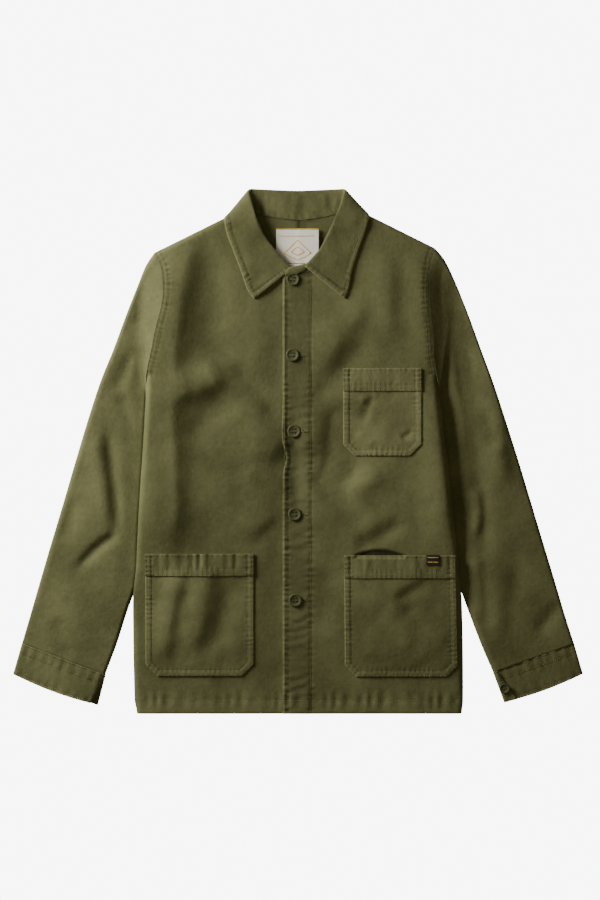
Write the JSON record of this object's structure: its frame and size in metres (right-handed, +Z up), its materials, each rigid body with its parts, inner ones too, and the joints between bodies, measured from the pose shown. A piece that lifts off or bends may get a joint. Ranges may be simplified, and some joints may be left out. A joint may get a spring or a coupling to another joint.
{
  "type": "chore jacket",
  "caption": "Olive cotton work jacket laid flat, with a turned-down collar, buttoned front, long sleeves with cuffs and patch pockets.",
  "frame": {"origin": "middle of the footprint of the jacket laid on its back, on the surface it lies on", "axes": "+X to the wearer's left sleeve, +Y to the collar, +Z up out of the front"},
  "size_m": [0.8534, 0.7853, 0.0217],
  "materials": {
    "cloth": "matte",
    "button_plastic": "satin",
    "label_cloth": "satin",
    "flag_cloth": "matte"
  },
  "bodies": {
    "root": {"back_right": "cloth", "back_left": "cloth", "front_right": "cloth", "front_left": "cloth", "sleeve_right": "cloth", "sleeve_left": "cloth", "cuff_right": "cloth", "cuff_left": "cloth", "collar": "cloth", "pocket_lower_right": "cloth", "pocket_lower_left": "cloth", "pocket_chest": "cloth", "band_lower_right": "cloth", "band_lower_left": "cloth", "band_chest": "cloth", "button_1": "button_plastic", "button_2": "button_plastic", "button_3": "button_plastic", "button_4": "button_plastic", "button_5": "button_plastic", "cuff_button_left": "button_plastic", "neck_label": "label_cloth", "flag_label": "flag_cloth"}
  },
  "joints": []
}
